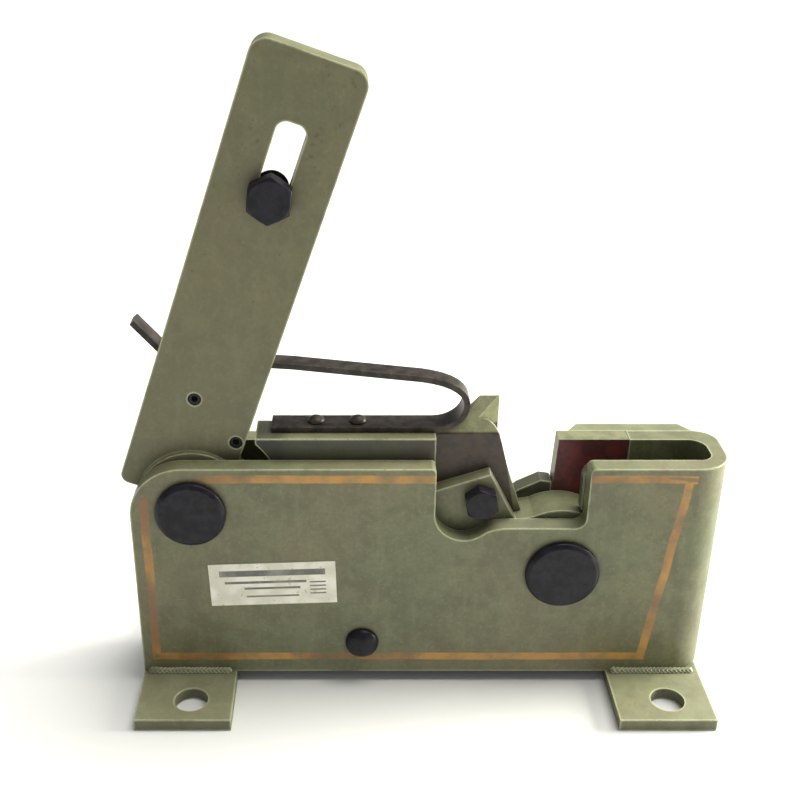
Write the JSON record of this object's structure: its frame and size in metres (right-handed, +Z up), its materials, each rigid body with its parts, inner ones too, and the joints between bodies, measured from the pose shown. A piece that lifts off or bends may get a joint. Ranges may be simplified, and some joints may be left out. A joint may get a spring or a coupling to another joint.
{
  "type": "hand-operated bar shear",
  "caption": "Bench-mounted hand shear for steel bar: a slotted lever turns a toothed blade arm that closes a moving blade past a fixed one in a U-shaped plate frame.",
  "frame": {"origin": "on the ground, under the centre of the whole machine's box with the lever at rest", "axes": "+Z up; +X along the frame towards the jaws; -Y towards the front, where the pin heads and the label are"},
  "size_m": [0.369, 0.145, 0.4029],
  "materials": {
    "frame_paint": "olive machine paint, brushed on, worn at the edges",
    "lever_paint": "olive machine paint over forged steel",
    "arm_paint": "olive machine paint, thin and dirty over forged steel",
    "black_steel": "blackened steel, slightly oily",
    "spring_steel": "dark brown tempered spring steel",
    "blade_red": "dark red primer on hardened steel",
    "bronze": "plain bearing bronze",
    "zinc": "dull zinc plated steel",
    "label_card": "cream self-adhesive label, no lettering"
  },
  "bodies": {
    "frame": {"frame": "frame_paint", "foot_left": "frame_paint", "foot_right": "frame_paint", "backing_plate": "frame_paint", "guide_block": "frame_paint", "fixed_blade": "blade_red", "fixed_blade_screw_1": "black_steel", "fixed_blade_screw_2": "black_steel", "label": "label_card", "spacer_tube": "zinc", "spacer_bolt": "black_steel", "spacer_washer": "zinc", "spacer_nut": "black_steel", "lever_pin": "black_steel", "lever_pin_washer": "zinc", "lever_pin_circlip": "spring_steel", "arm_pin": "black_steel", "arm_pin_washer": "zinc", "arm_pin_circlip": "spring_steel"},
    "lever": {"lever": "lever_paint", "lever_bush": "bronze", "roll_pin_upper": "black_steel", "roll_pin_lower": "black_steel"},
    "handle_clamp": {"clamp_bolt": "black_steel", "clamp_ring": "spring_steel"},
    "blade_arm": {"blade_arm": "arm_paint", "arm_bush": "bronze", "moving_blade": "blade_red", "moving_blade_bolt": "black_steel", "leaf_spring": "spring_steel", "spring_rivet_1": "spring_steel", "spring_rivet_2": "spring_steel"}
  },
  "joints": [
    {"name": "lever_pivot", "type": "hinge", "parent": "frame", "child": "lever", "pos_m": [-0.14112, -0.0005, 0.128], "axis": [0, -1, 0], "range_deg": [0, 112]},
    {"name": "arm_pivot", "type": "hinge", "parent": "frame", "child": "blade_arm", "pos_m": [0.08678, -0.0005, 0.0845], "axis": [0, 1, 0], "range_deg": [0, 28]},
    {"name": "clamp_slide", "type": "slide", "parent": "lever", "child": "handle_clamp", "axis": [0.3289, 0, 0.9444], "range_m": [0, 0.033]}
  ],
  "couplings": [
    {"joint": "arm_pivot", "follows": "lever_pivot", "ratio": 0.25}
  ]
}
